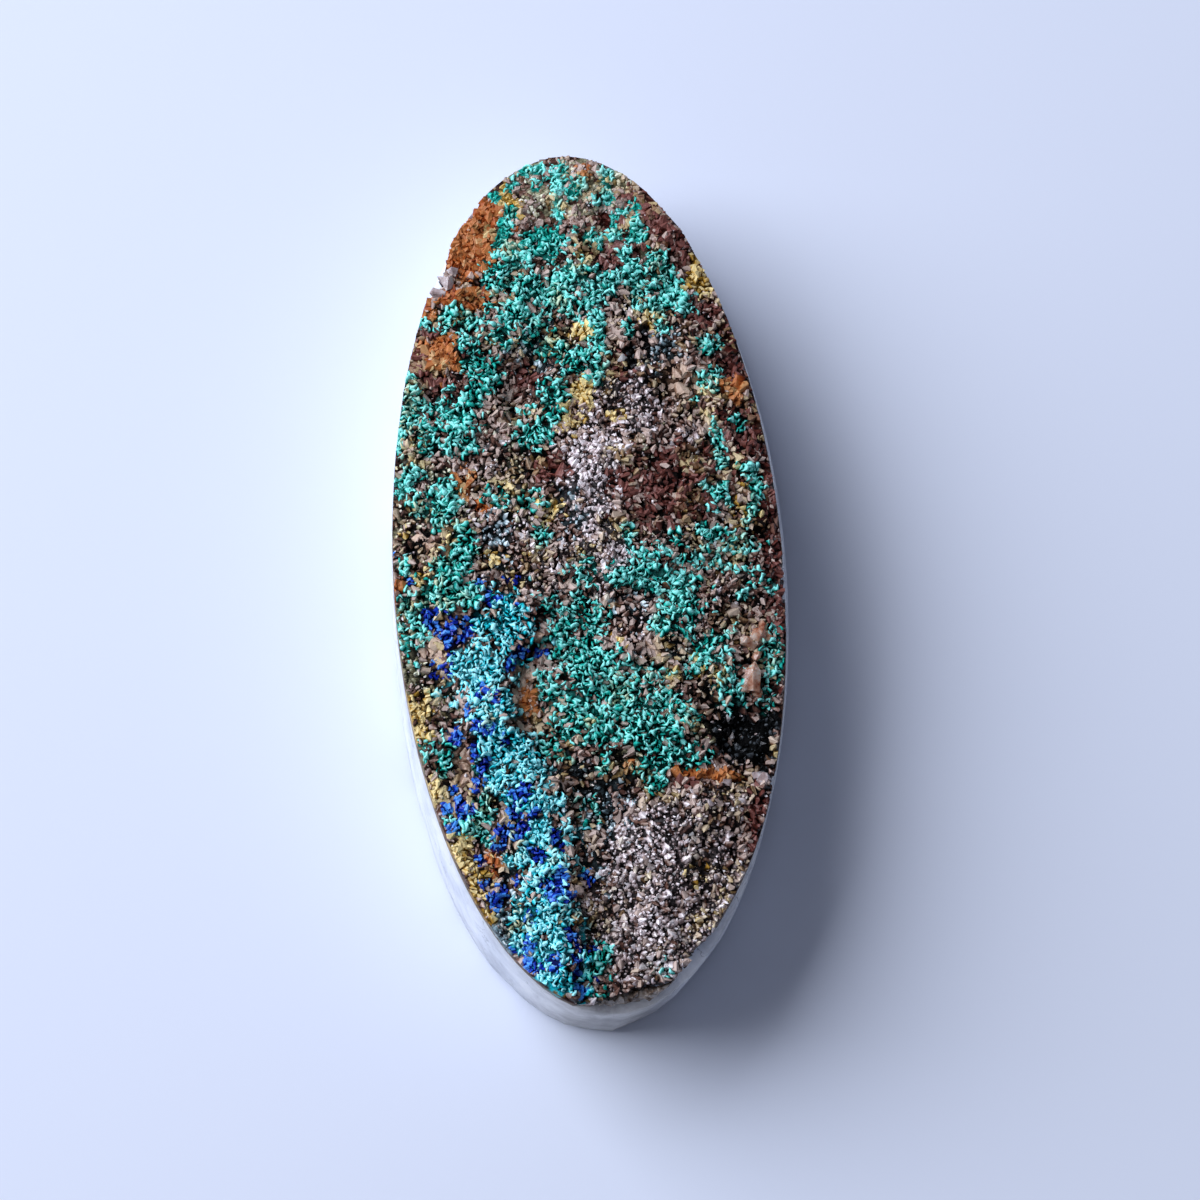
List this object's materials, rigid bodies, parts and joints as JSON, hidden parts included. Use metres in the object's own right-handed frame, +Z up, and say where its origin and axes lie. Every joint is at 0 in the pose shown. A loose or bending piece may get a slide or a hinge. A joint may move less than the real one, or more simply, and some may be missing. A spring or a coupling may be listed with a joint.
{
  "type": "azurite specimen",
  "caption": "Oval cut stone: milky quartz body with ground sides and a flat back, under a rough crust of quartz crystals with malachite and azurite grown on it.",
  "frame": {"origin": "middle of the flat back, on the surface that the stone rests on", "axes": "+Z up through the druse face, +Y along the stone's long axis, +X across it"},
  "size_m": [0.0181, 0.0394, 0.0085],
  "materials": {
    "milky_quartz": "ground and translucent",
    "druse": "rough, sparkling crystals",
    "malachite": "dull, fine-grained",
    "azurite": "glassy crystals",
    "clear_quartz": "glassy, cloudy inside"
  },
  "bodies": {
    "root": {"quartz_body": "milky_quartz", "druse_crust": "druse", "malachite_band": "malachite", "azurite_cluster_1": "azurite", "azurite_cluster_2": "azurite", "azurite_cluster_3": "azurite", "azurite_cluster_4": "azurite", "azurite_cluster_5": "azurite", "azurite_cluster_6": "azurite", "azurite_cluster_7": "azurite", "azurite_cluster_8": "azurite", "azurite_cluster_9": "azurite", "azurite_cluster_10": "azurite", "azurite_cluster_11": "azurite", "azurite_cluster_12": "azurite", "azurite_cluster_13": "azurite", "quartz_crystal_1": "clear_quartz", "quartz_crystal_2": "clear_quartz"}
  },
  "joints": []
}
